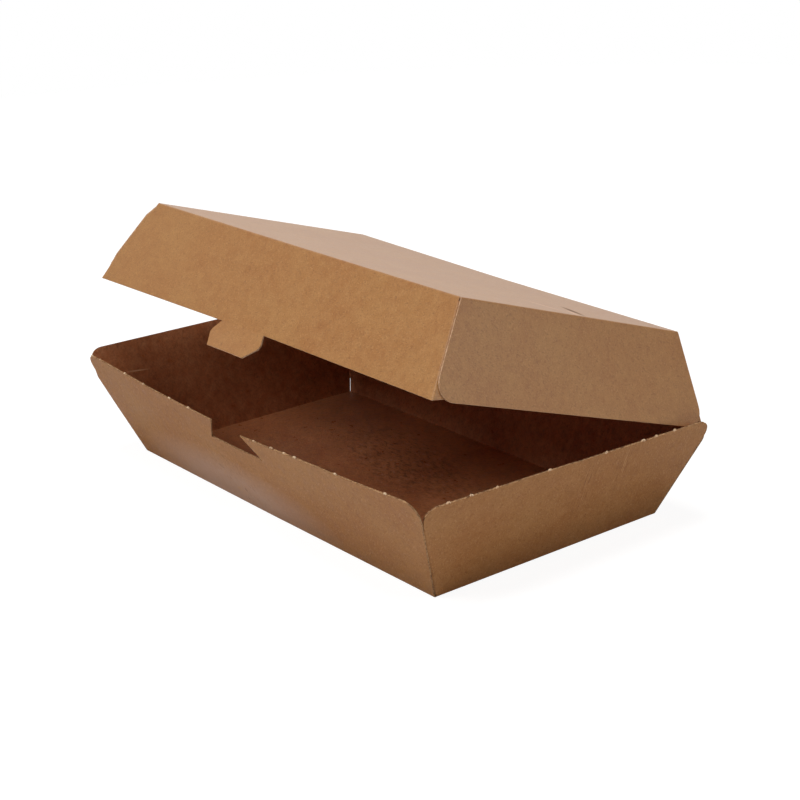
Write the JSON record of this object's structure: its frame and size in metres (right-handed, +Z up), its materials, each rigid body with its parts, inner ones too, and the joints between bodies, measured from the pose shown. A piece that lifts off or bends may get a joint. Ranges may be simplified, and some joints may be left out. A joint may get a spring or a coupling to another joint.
{
  "type": "hinged takeaway box",
  "caption": "Hinged takeaway box folded from kraft board: a flared tray and a nesting lid whose front tab hooks into a dovetail notch.",
  "frame": {"origin": "middle of the underside of the tray's base, in the plane that it rests on", "axes": "+X along the hinge crease, +Y from the front wall towards the hinge, +Z up"},
  "size_m": [0.2006, 0.1213, 0.0904],
  "materials": {
    "tray_board": "matte brown kraft board, fine fibres",
    "lid_board": "matte brown kraft board, fine fibres"
  },
  "bodies": {
    "tray_body": {"tray": "tray_board"},
    "lid_body": {"lid": "lid_board"}
  },
  "joints": [
    {"name": "lid_hinge", "type": "hinge", "parent": "tray_body", "child": "lid_body", "pos_m": [0, 0.05733, 0.03], "axis": [-1, 0, 0], "range_deg": [-18.4, 161.6]}
  ]
}
